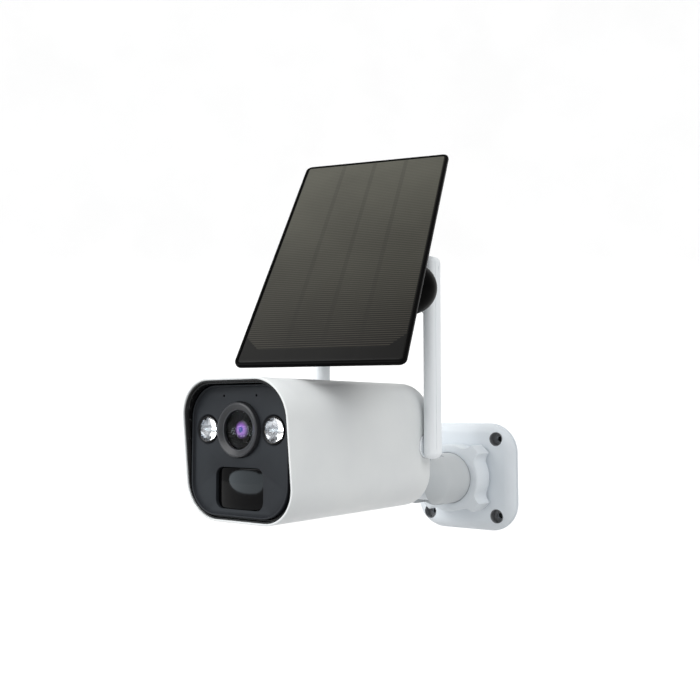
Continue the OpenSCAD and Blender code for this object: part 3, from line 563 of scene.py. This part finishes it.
def lock_nut():
    """Ring with four ears; the ears' flanks are scooped and their fronts slope back."""
    ear_half, foot = math.radians(8.4), math.radians(21.5)
    scoop = 7.0
    scoop_at = NUT_R + scoop
    steps = 360
    setback = 4.0
    slope = setback / (EAR_R + 3 - NUT_R + 1)

    def reach(angle):
        off = abs(angle % (math.pi / 2) - math.pi / 4)
        if off <= ear_half:
            return EAR_R
        if off >= foot:
            return NUT_R
        away = foot - off
        return min(EAR_R, scoop_at * math.cos(away)
                   - math.sqrt(max(0.0, scoop ** 2 - (scoop_at * math.sin(away)) ** 2)))

    def ring(radius_of, y_of):
        loop = []
        for i in range(steps):
            a = 2 * math.pi * i / steps
            r = radius_of(reach(a))
            loop.append((r * math.cos(a), y_of(r), r * math.sin(a)))
        return loop

    def front(r):
        return NUT_FRONT + max(0.0, r - NUT_R + 1) * slope

    bore, recess = HEAD_R + 0.15, BOSS_R + 0.3
    rings = [
        ring(lambda o: recess, lambda r: NUT_BACK),
        ring(lambda o: recess, lambda r: NUT_LIP),
        ring(lambda o: bore, lambda r: NUT_LIP),
        ring(lambda o: bore, lambda r: NUT_FRONT + 0.7),
        ring(lambda o: bore + 0.2, lambda r: NUT_FRONT + 0.2),
        ring(lambda o: bore + 0.7, lambda r: NUT_FRONT),
        ring(lambda o: bore + 2.6, lambda r: NUT_FRONT),
        ring(lambda o: NUT_R - 1.6, lambda r: NUT_FRONT + 0.05),
        ring(lambda o: NUT_R - 1.0, lambda r: NUT_FRONT + 0.25),
        ring(lambda o: (o + NUT_R) / 2 - 0.6, lambda r: front(r) + 0.15),
        ring(lambda o: o - 0.6, lambda r: front(r) + 0.15),
        ring(lambda o: o - 0.2, lambda r: front(r) + 0.28),
        ring(lambda o: o, lambda r: front(r) + 0.7),
        ring(lambda o: o, lambda r: NUT_BACK - 0.8),
        ring(lambda o: o - 0.25, lambda r: NUT_BACK - 0.25),
        ring(lambda o: o - 0.8, lambda r: NUT_BACK),
    ]
    mesh = loft_mesh("lock_nut_form", rings, closed=True)
    return finish_mesh("lock_nut_form", mesh, white_bracket, "lock_nut",
                       ["lock_nut"], sharp=32)


def swivel_head():
    """Spigot, flange, barrel and dome, with the slot for the neck cut into the dome."""
    flange, spigot, spigot_r = -20.8, -13, 12
    profile = [(0, spigot + 0.4), (spigot_r - 0.4, spigot), (spigot_r, spigot + 0.4),
               (spigot_r, 0), (BOSS_R - 0.6, 0),
               (BOSS_R - 0.2, 0.4), (BOSS_R - 0.2, 4.1), (HEAD_R, 4.3)]
    profile += [(HEAD_R, flange - DOME_Y)]
    profile += arc(0, flange - DOME_Y, HEAD_R, 3, 90, 24)
    mesh = lathe_mesh("swivel_head_form", profile, (0, flange, 0), closed=False)
    head = finish_mesh("swivel_head_form", mesh, white_head_painted_shade, "swivel_head",
                       ["swivel_head"])
    slot_back, slot_front = HINGE_Y + TONGUE_R + 0.8, DOME_Y - HEAD_R - 2
    slot = slab_mesh("cutter", 2 * SLOT_X, slot_back - slot_front, 0.8, -30, 30, edge=0.2)
    turn = Matrix.Rotation(math.radians(90), 4, "X")
    shift = Matrix.Translation((0, (slot_back + slot_front) / 2, 0))
    slot.transform(shift @ turn)
    recess_r, recess_x = 5.5, -13.55
    recess = lathe_mesh("cutter", [(0, 0), (recess_r, 0), (recess_r, 10), (0, 10)],
                        (recess_x, HINGE_Y, 0), axis=(-1, 0, 0), segments=48, closed=False)
    cut(head, [slot, recess])
    return bevel(head, 0.45, 3, 45)


wall_plate()
lock_nut()
swivel_head()

# ---- camera body ----------------------------------------------------------


def rim_plane(z):
    """Y of the leaning rim plane at a height."""
    return RIM_Y - (z - BODY_Z) * RIM_SLOPE


def body_ring(inset, y=None, ahead=None, size=BODY, corner=BODY_CORNER):
    """Loop round the body: at the plane y, or a distance behind the leaning rim plane."""
    loop = []
    for px, pz in rounded_square(size - 2 * inset, size - 2 * inset, corner - inset, 16):
        z = BODY_Z + pz
        loop.append((px, y if y is not None else rim_plane(z) + ahead, z))
    return loop


def body_shell():
    """Thin square shell with round corners, open at the leaning rim."""
    rings = []
    for i in range(13):
        a = math.radians(7.5 * i)
        rings.append(body_ring(REAR_EDGE * (1 - math.sin(a)),
                               REAR_Y - REAR_EDGE * (1 - math.cos(a))))
    rings += [body_ring(0, ahead=d) for d in (14, 0.5)]
    rings += [body_ring(0.12, ahead=0.16), body_ring(0.4, ahead=0.0), body_ring(0.85, ahead=0.0),
              body_ring(1.1, ahead=0.12), body_ring(RIM_WALL, ahead=0.4)]
    ledge = RIM_Y + RIM_DEPTH
    rings += [body_ring(RIM_WALL, y=ledge), body_ring(BODY_WALL, y=ledge)]
    inner_edge = REAR_EDGE - BODY_WALL
    for i in range(7):
        a = math.radians(90 - 15 * i)
        rings.append(body_ring(BODY_WALL + inner_edge * (1 - math.sin(a)),
                               REAR_Y - BODY_WALL - inner_edge * (1 - math.cos(a))))
    shell = finish_mesh("body_shell_form", loft_mesh("body_shell_form", rings), white_shell,
                        "camera", ["body_shell"], sharp=30)
    floor_z = BODY_Z - BODY / 2
    turn = Matrix.Rotation(math.radians(90), 4, "X")
    port = slab_mesh("cutter", PORT_W, PORT_D, 2.5, -5, 5)
    port.transform(Matrix.Translation((0, PORT_Y, floor_z)) @ turn)
    holes = [port]
    for i in range(SOUND_HOLES):
        a = 2 * math.pi * i / SOUND_HOLES
        place = (SOUND_R * math.cos(a), SOUND_Y + SOUND_R * math.sin(a), floor_z)
        hole = [(0, -6), (SOUND_HOLE_R, -6), (SOUND_HOLE_R, 6), (0, 6)]
        holes.append(lathe_mesh("cutter", hole, place, axis=(0, 0, 1), segments=24,
                                closed=False))
    for side in (-1, 1):
        holes.append(lathe_mesh("cutter", [(0, -SEAT_D), (SEAT_R + 0.25, -SEAT_D),
                                           (SEAT_R + 0.25, 1.0), (0, 1.0)],
                                (side * BODY / 2, ANTENNA_Y, ANTENNA_Z), axis=(side, 0, 0),
                                segments=72, closed=False))
    return cut(shell, holes, sharp=30)


def front_liner():
    """Black lining of the rim, with a step part of the way across its edge."""
    out, deep = RIM_WALL + 0.1, RIM_Y + RIM_DEPTH - 0.1
    rings = [body_ring(out, y=deep), body_ring(out, ahead=0.95), body_ring(out + 0.2, ahead=0.7),
             body_ring(out + 0.7, ahead=0.7), body_ring(out + 0.95, ahead=0.95),
             body_ring(out + 1.0, ahead=1.9), body_ring(out + 1.12, ahead=2.05),
             body_ring(out + LINER_WALL - 0.12, ahead=2.05),
             body_ring(out + LINER_WALL, ahead=2.25), body_ring(out + LINER_WALL, y=deep)]
    return finish_mesh("front_liner_form", loft_mesh("front_liner_form", rings, closed=True),
                       liner_black, "camera", ["front_liner"], sharp=50)


def face_plate():
    """Front plate with its openings for lens, lamps, microphones and motion sensor."""
    mesh = slab_mesh("face_plate_form", FACE_SIZE - 0.4, FACE_SIZE - 0.4, FACE_CORNER,
                     FACE_Y + FACE_T, FACE_Y, z=BODY_Z, edge=0.5, steps=14)
    plate = finish_mesh("face_plate_form", mesh, face_grey, "camera",
                        ["face_plate"])
    back = FACE_Y + FACE_T + 2
    holes = [round_cutter(0, OPTICS_Z, RING_R + 0.2, back, FACE_Y, 0.35)]
    for side in (-1, 1):
        holes.append(round_cutter(side * LAMP_X, OPTICS_Z, LAMP_R + 0.3, back, FACE_Y, 1.0))
        holes.append(round_cutter(side * MIC_X, MIC_Z, 0.55, back, FACE_Y, 0.2))
    window = slab_mesh("cutter", PIR_W + 0.5, PIR_H + 0.5, PIR_CORNER + 0.25, back, FACE_Y - 4,
                       z=PIR_Z, edge=0.1)
    holes.append(window)
    cut(plate, holes)
    return bevel(plate, 0.22, 2, 50)


def face_lip():
    """Low lip round the face plate, next to the liner."""
    top, wide = FACE_Y - 1.3, 0.95
    out = FACE_SIZE - 0.42
    stations = [(0, FACE_Y + 0.6), (0, top + 0.3), (0.09, top + 0.09), (0.3, top),
                (wide - 0.3, top), (wide - 0.09, top + 0.09), (wide, top + 0.3),
                (wide + 0.1, FACE_Y - 0.15), (wide + 0.35, FACE_Y + 0.02),
                (wide + 0.35, FACE_Y + 0.6)]
    loops = [[(px, y, BODY_Z + pz) for px, pz in
              rounded_square(out - 2 * i, out - 2 * i, FACE_CORNER - i, 16)]
             for i, y in stations]
    finish_mesh("face_lip_form", loft_mesh("face_lip_form", loops, closed=True), face_grey,
                "camera", sharp=50)


def bulge(x):
    """Y of the sensor window's curved front."""
    return FACE_Y - 0.6 + PIR_BULGE_R - math.sqrt(PIR_BULGE_R ** 2 - x * x)


def window_outline(inset):
    """Outline of the sensor window with its upper and lower edges divided evenly."""
    points, span = [], 24
    corner = rounded_square(PIR_W - 2 * inset, PIR_H - 2 * inset, PIR_CORNER - inset, 8)
    for k, (a, b) in enumerate(zip(corner, corner[1:] + corner[:1])):
        points.append(a)
        if abs(a[1] - b[1]) < 1e-6 and abs(a[0] - b[0]) > PIR_W / 2:
            for i in range(1, span):
                t = i / span
                points.append((a[0] + (b[0] - a[0]) * t, a[1]))
    return points


def pir_window():
    """Bulged window of the motion sensor."""
    insets = [0, 0.02, 0.12, 0.35, 0.7]
    sink = [1.0, 0.5, 0.24, 0.06, 0.0]
    rings = [[(px, FACE_Y + FACE_T, PIR_Z + pz) for px, pz in window_outline(0)]]
    for i, down in zip(insets, sink):
        rings.append([(px, bulge(px) + down, PIR_Z + pz) for px, pz in window_outline(i)])
    mesh = loft_mesh("pir_window_form", rings, caps=(True, False))
    # the front is filled with upright strips, so that the bulge stays smooth
    bm = bmesh.new()
    bm.from_mesh(mesh)
    bm.verts.ensure_lookup_table()
    count = len(rings[0])
    edge = [bm.verts[(len(rings) - 1) * count + i] for i in range(count)]
    top = [v for v in edge if v.co.z > PIR_Z]
    low = [v for v in edge if v.co.z < PIR_Z]
    top.sort(key=lambda v: v.co.x)
    low.sort(key=lambda v: v.co.x)
    for k in range(len(top) - 1):
        bm.faces.new((low[k], low[k + 1], top[k + 1], top[k]))
    bm.to_mesh(mesh)
    bm.free()
    return finish_mesh("pir_window_form", mesh, pir_black, "camera",
                       ["pir_window"], sharp=50)


def lens_ring():
    """Ring that slopes in towards the front glass."""
    inner = GLASS_R + 0.1
    profile = ([(inner, 0), (RING_R, 0)]
               + arc(RING_R - 0.35, FACE_T + 2.2, 0.35, 0, 60, 3)
               + arc(RING_R - 1.0, FACE_T + 2.55, 0.35, 60, 100, 3)
               + [(RING_R - 1.5, FACE_T + 2.75), (inner + 0.5, FACE_T + 1.3)]
               + arc(inner + 0.35, FACE_T + 1.0, 0.35, 100, 180, 3))
    mesh = lathe_mesh("lens_ring_form", profile, (0, FACE_Y + FACE_T, OPTICS_Z), segments=128)
    return finish_mesh("lens_ring_form", mesh, lens_metal, "camera",
                       ["lens_ring"], sharp=45)


def dome(r, top, radius, steps=12):
    """Points of a dome's profile from its edge to the axis, its top at a height."""
    points = []
    for i in range(steps + 1):
        x = r * (1 - i / steps)
        points.append((x, top - radius + math.sqrt(radius ** 2 - x * x)))
    return points


def lens_inside():
    """Black stepped cone behind the front glass, round the inner lens."""
    profile = [(9.0, -7.0), (12, -2), (12, -0.1), (GLASS_R - 0.15, -0.1), (GLASS_R - 0.15, 2.1)]
    r, height, steps = GLASS_R - 0.35, 2.1, 7
    narrow, fall = (r - 5.1) / steps, 1.15 / steps
    for _ in range(steps):
        profile += [(r, height), (r - 0.07, height - fall * 0.85),
                    (r - narrow * 0.9, height - fall)]
        r -= narrow
        height -= fall
    profile += [(5.0, height), (5.0, -7.0)]
    mesh = lathe_mesh("lens_barrel_form", profile, (0, FACE_Y + FACE_T, OPTICS_Z), segments=96)
    barrel = finish_mesh("lens_barrel_form", mesh, barrel_black, "camera",
                         ["lens_barrel"], sharp=20)
    profile = [(0, -5.5), (4.9, -5.5)] + dome(4.9, 1.75, 15.0)
    mesh = lathe_mesh("inner_lens", profile, (0, 0, 0), segments=64, closed=False)
    place = Matrix.Translation((0, (FACE_Y + FACE_T) * MM, OPTICS_Z * MM))
    inner = finish_mesh("inner_lens", mesh, inner_glass, "camera",
                        ["lens_rear_glass"], matrix=place, local=True)
    return barrel, inner


def lens_front_glass():
    """Thin domed glass over the lens."""
    inside = list(reversed(dome(GLASS_R - 0.2, 3.2, 52.0)))
    profile = inside + [(GLASS_R, 2.35)] + dome(GLASS_R, 3.6, 52.0)
    mesh = lathe_mesh("lens_front_glass_form", profile, (0, FACE_Y + FACE_T, OPTICS_Z),
                      segments=96, closed=False)
    return finish_mesh("lens_front_glass_form", mesh, front_glass, "camera",
                       ["lens_front_glass"], sharp=60)


def lamp(side, word):
    """Faceted mirror, domed lens and light chip of a lamp."""
    centre = (side * LAMP_X, FACE_Y, OPTICS_Z)
    facets = 18
    profile = [(1.7, -5.2), (1.7, -5.6), (3.4, -5.6), (LAMP_R + 0.25, -2.6), (LAMP_R + 0.25, -1.2),
               (LAMP_R - 0.15, -1.2), (LAMP_R - 0.7, -2.1), (5.0, -3.2), (3.4, -4.5)]
    mesh = lathe_mesh("lamp_mirror_" + word, profile, centre, segments=facets)
    # every second facet line is pushed in, so that the mirror glints unevenly
    for vertex in mesh.vertices:
        p = vertex.co - Vector(centre)
        if math.hypot(p.x, p.z) < LAMP_R:
            turn = round(math.atan2(p.z, p.x) / (2 * math.pi) * facets)
            vertex.co.y += 0.35 * (turn % 2) + 0.12 * math.sin(3.1 * turn + side)
    finish_mesh("lamp_mirror_" + word, mesh, mirror, "camera",
                ["lamp_reflector_" + word], sharp=8)
    profile = [(0, -1.1), (LAMP_R - 0.2, -1.1), (LAMP_R, -0.9)] + dome(LAMP_R, 1.0, 14.5)
    mesh = lathe_mesh("lamp_lens_form_" + word, profile, centre, segments=72, closed=False)
    finish_mesh("lamp_lens_form_" + word, mesh, lamp_glass, "camera",
                ["lamp_lens_" + word], sharp=60)
    chip = slab_mesh("lamp_chip_" + word, 2.6, 2.6, 0.4, FACE_Y + 5.1, FACE_Y + 4.4,
                     z=OPTICS_Z, x=side * LAMP_X, edge=0.12, steps=4)
    finish_mesh("lamp_chip_" + word, chip, brass, "camera")


def seat_ring(side, word):
    """Dark seat ring round a lamp's lens."""
    edge = FACE_T - 0.66
    profile = ([(LAMP_R + 0.05, 0.0), (LAMP_R + 0.28, 0.0), (LAMP_R + 0.28, FACE_T - 0.3)]
               + arc(LAMP_R + 0.08, FACE_T - 0.2, 0.2, 0, 90, 3)
               + [(LAMP_R - 0.5, edge + 0.32), (LAMP_R - 0.5, edge + 0.26), (LAMP_R + 0.05, edge)])
    mesh = lathe_mesh("lamp_seat_" + word, profile, (side * LAMP_X, FACE_Y + FACE_T, OPTICS_Z),
                      segments=72)
    finish_mesh("lamp_seat_" + word, mesh, liner_black, "camera")


body_shell()
front_liner()
face_plate()
face_lip()
pir_window()
lens_ring()
lens_inside()
lens_front_glass()
for side, word in ((-1, "left"), (1, "right")):
    lamp(side, word)
    seat_ring(side, word)

# ---- antennas -------------------------------------------------------------


def antenna(side, word):
    """Round-ended aerial with a seam and a slit, and the hinge disc behind it."""
    bottom = ANTENNA_Z - ANTENNA_BELOW
    half_t, tip = ANTENNA_T / 2, ANTENNA_T / 2
    rings = []
    stations = []
    for i in range(11):
        a = math.radians(9 * i)
        stations.append((tip * (1 - math.sin(a)), bottom + tip * (1 - math.cos(a))))
    stations += [(0, bottom + 30), (0, bottom + ANTENNA_L - 30)]
    for i in range(11):
        a = math.radians(90 - 9 * i)
        stations.append((tip * (1 - math.sin(a)),
                         bottom + ANTENNA_L - tip * (1 - math.cos(a))))
    for inset, z in stations:
        inset = min(inset, half_t - 0.02)
        w, h = ANTENNA_T - 2 * inset, ANTENNA_W - 2 * inset
        rings.append([(side * ANTENNA_X + px, ANTENNA_Y + py, z) for px, py in
                      rounded_square(w, h, w / 2 - 0.005, 12)])
    mesh = loft_mesh("antenna_form_" + word, rings)
    rod = finish_mesh("antenna_form_" + word, mesh, white_antenna, "antenna_" + word,
                      ["antenna_" + word], sharp=40)
    # seam between the front strip and the back half, and a slit near the tip
    seam = slab_mesh("cutter", 1.2, ANTENNA_L - 9, 0.2, -0.16, 0.16, edge=0.05, steps=3)
    seam.transform(Matrix.Translation((side * (ANTENNA_X + half_t), ANTENNA_Y - 2.6,
                                       bottom + ANTENNA_L / 2 + 1)))
    slit = slab_mesh("cutter", 1.2, 2.6, 0.2, -0.25, 0.25, edge=0.05, steps=3)
    slit.transform(Matrix.Translation((side * (ANTENNA_X + half_t - 0.2), ANTENNA_Y + 1.2,
                                       bottom + ANTENNA_L - 7.5)))
    cut(rod, [seam, slit], sharp=40)
    # hinge disc fixed to the body, with a turned groove
    profile = [(0, -3.6), (3.0, -3.6), (3.0, -1.4), (SEAT_R - 0.1, -1.4), (SEAT_R, -1.3),
               (SEAT_R, 0.45), (SEAT_R - 0.3, 0.7), (SEAT_R - 0.9, 0.7), (SEAT_R - 1.0, 0.0),
               (SEAT_R - 1.6, 0.0), (SEAT_R - 1.7, 0.7), (3.0, 0.7), (3.0, 5.0), (0, 5.0)]
    mesh = lathe_mesh("antenna_disc_" + word, profile,
                      (side * BODY / 2, ANTENNA_Y, ANTENNA_Z), axis=(side, 0, 0),
                      segments=72, closed=False)
    finish_mesh("antenna_disc_" + word, mesh, white_antenna, "camera",
                ["antenna_boss_" + word], sharp=30)


for side, word in ((-1, "left"), (1, "right")):
    antenna(side, word)

# ---- solar panel ----------------------------------------------------------

tilt = joints["panel_tilt"]
tilt_point = Vector(tilt["pos_m"])
tilt_axis = -Vector(tilt["axis"]).normalized()
ahead = Vector((tilt_axis.y, -tilt_axis.x, 0))
up = Vector((0, 0, 1))
panel_normal = ahead * math.cos(PANEL_LEAN) + up * math.sin(PANEL_LEAN)
panel_up = up * math.cos(PANEL_LEAN) - ahead * math.sin(PANEL_LEAN)
panel_centre = (tilt_point + panel_up * CENTRE_ABOVE_AXIS * MM
                + panel_normal * FACE_ABOVE_AXIS * MM)
panel_place = Matrix.Translation(panel_centre) @ Matrix(
    (tilt_axis, panel_up, panel_normal)).transposed().to_4x4()
axle_place = Matrix.Translation(tilt_point) @ Matrix(
    (tilt_axis, panel_up, panel_normal)).transposed().to_4x4()


def flat_rings(w, h, r, stations, steps=10, x=0.0, y=0.0):
    """Loops in the panel's own frame: stations are (inset, height out of the face)."""
    return [[(x + px, y + py, z) for px, py in
             rounded_square(w - 2 * i, h - 2 * i, r - i, steps)] for i, z in stations]


def panel_piece(name, stations, material, nodes, corner=PANEL_CORNER, closed=False,
                local=False):
    """Piece of the panel from its outline's (inset, height out of the face) stations."""
    mesh = loft_mesh(name, flat_rings(PANEL_W, PANEL_H, corner, stations), closed=closed)
    return finish_mesh(name, mesh, material, "panel", nodes, matrix=panel_place,
                       local=local)


def panel():
    """Frame, laminate and back of the solar panel."""
    border = PANEL_BORDER
    frame_stations = [(0.9, -PANEL_EDGE), (0.25, -PANEL_EDGE + 0.25), (0, -PANEL_EDGE + 0.9),
                      (0, -0.7), (0.2, -0.2), (0.7, 0.0), (border - 0.35, 0.0),
                      (border - 0.1, -0.12), (border, -0.4), (border, -1.6), (border + 3, -1.6),
                      (border + 3, -PANEL_EDGE)]
    panel_piece("panel_frame_form", frame_stations, black_plastic,
                ["panel_frame"], closed=True)
    laminate = [(border + 0.1, -1.55), (border + 0.1, -0.35), (border + 0.3, -0.16),
                (border + 0.6, -0.1)]
    panel_piece("solar_laminate", laminate, solar_cell,
                ["solar_cells", "panel_glass"], local=True)
    back = [(7.4, -PANEL_T), (6.5, -PANEL_T + 0.35), (6.05, -PANEL_T + 0.9),
            (6.0, -PANEL_EDGE + 0.05)]
    panel_piece("panel_back_form", back, black_plastic, ["panel_back"],
                corner=PANEL_CORNER + 6)


panel()


def knob(side, word):
    """Domed knob with a bead round its rim, hollow round the axle."""
    inner = 17.3
    profile = [(3.05, inner), (7.6, inner), (8.0, inner + 0.4), (8.0, KNOB_X - 2.6),
               (8.6, KNOB_X - 2.0), (KNOB_R - 0.5, KNOB_X - 2.0), (KNOB_R, KNOB_X - 1.5),
               (KNOB_R, KNOB_X - 0.5), (KNOB_R - 0.45, KNOB_X - 0.1), (KNOB_R - 0.7, KNOB_X + 0.5)]
    profile += [(0.957 * r, a) for r, a in arc(0, KNOB_X, KNOB_R - 0.05, 4, 90, 22)]
    profile += [(0, KNOB_X + 9.0), (3.05, KNOB_X + 4.5)]
    mesh = lathe_mesh("tilt_knob_form_" + word, profile, (0, 0, 0), axis=(side, 0, 0),
                      segments=128)
    return finish_mesh("tilt_knob_form_" + word, mesh, black_plastic, "knob_" + word,
                       ["tilt_knob_" + word], matrix=axle_place, sharp=35)


for side, word in ((-1, "left"), (1, "right")):
    knob(side, word)

# ---- finishes of the CAD nodes that still show ----------------------------

finishes = {
    "wall_gasket": rubber, "friction_washer": rubber, "tilt_bolt": steel,
    "camera_neck": white_bracket, "neck_retainer": steel, "face_seal": rubber,
    "image_sensor": sensor_dark, "lamp_board": board_green, "pir_sensor": steel,
    "microphones": brass, "speaker": black_plastic, "main_board": board_green,
    "battery_cells": cell_wrap, "battery_holder": black_plastic,
    "antenna_core_left": brass, "antenna_core_right": brass, "port_frame": black_plastic,
    "usb_socket": steel, "memory_card": black_plastic, "port_cover": grey_rubber,
    "reset_button": grey_rubber, "power_button": grey_rubber, "solar_arm": arm_black,
    "arm_screws": steel, "pan_bolt": steel, "pan_nut": steel, "tilt_link": arm_black,
    "tilt_axle": steel, "panel_hinge": arm_black, "hinge_screws": steel,
    "cable_outlet": black_plastic,
}
for name, material in finishes.items():
    slots = frame["nodes"][name].data.materials
    slots.clear()
    slots.append(material)

# ---- floor, light and camera ----------------------------------------------


def stage_floor():
    """Pale floor with a curved rise behind the object."""
    half, low, back, bend, floor_turn = 9.0, -0.42, 5.0, 1.5, 36.6
    path = [(-9.0, low), (back - bend, low)]
    for i in range(1, 13):
        a = math.radians(7.5 * i)
        path.append((back - bend + bend * math.sin(a), low + bend * (1 - math.cos(a))))
    path.append((back, 9.0))
    verts = [(x, y, z) for y, z in path for x in (-half, half)]
    faces = [(2 * i, 2 * i + 1, 2 * i + 3, 2 * i + 2) for i in range(len(path) - 1)]
    mesh = bpy.data.meshes.new("floor")
    mesh.from_pydata(verts, [], faces)
    mesh.shade_smooth()
    mesh.materials.append(surface("floor", srgb(243, 243, 243), srgb(246, 246, 246),
                                  (0.8, 0.9), tone_scale=2.0, grain=60.0))
    floor = bpy.data.objects.new("floor", mesh)
    floor.rotation_euler = (0, 0, math.radians(floor_turn))
    floor.visible_diffuse = False
    bpy.context.scene.collection.objects.link(floor)


def area_light(name, position, target, size, power, colour):
    """Oval light of a width and a height that faces a target."""
    data = bpy.data.lights.new(name, "AREA")
    data.shape, data.energy, data.color = "ELLIPSE", power, colour
    data.size, data.size_y = size
    light = bpy.data.objects.new(name, data)
    light.location = position
    aim = Vector(target) - Vector(position)
    light.rotation_euler = aim.to_track_quat("-Z", "Y").to_euler()
    bpy.context.scene.collection.objects.link(light)
    return light


def sun(name, towards, irradiance, spread_angle):
    """Distant soft light; towards points from the object to it."""
    data = bpy.data.lights.new(name, "SUN")
    data.energy, data.angle = irradiance * math.pi, math.radians(spread_angle)
    light = bpy.data.objects.new(name, data)
    light.rotation_euler = Vector(towards).to_track_quat("Z", "Y").to_euler()
    bpy.context.scene.collection.objects.link(light)


def studio():
    """Even light all round, two soft suns and a light for the motion sensor's window."""
    world = bpy.data.worlds.new("studio")
    world.use_nodes = True
    world.node_tree.nodes["Background"].inputs["Color"].default_value = (1, 1, 1, 1)
    world.node_tree.nodes["Background"].inputs["Strength"].default_value = 0.62
    bpy.context.scene.world = world
    sun("key", (-0.3, -0.74, 0.6), 0.74, 50)
    sun("fill", (0.72, -0.2, 0.66), 0.25, 40)
    # long low light that the motion sensor's window mirrors
    window = area_light("window", (-0.943, -1.979, -0.05), (0, -0.248, 0.0073), (2.2, 0.38),
                        14.0, (0.8, 0.92, 1.0))
    window.visible_diffuse = False


stage_floor()
studio()

CAMERA_AT = (0.3176, -0.5762, 0.0469)
CAMERA_YAW, CAMERA_PITCH = 36.603, 4.144

camera_data = bpy.data.cameras.new("camera")
camera_data.lens, camera_data.sensor_width = 44.40, 36.0
camera_data.clip_start, camera_data.clip_end = 0.01, 60.0
camera = bpy.data.objects.new("camera", camera_data)
camera.location = CAMERA_AT
camera.rotation_euler = (math.radians(90 + CAMERA_PITCH), 0, math.radians(CAMERA_YAW))
bpy.context.scene.collection.objects.link(camera)
bpy.context.scene.camera = camera
bpy.context.scene.view_settings.view_transform = "Standard"
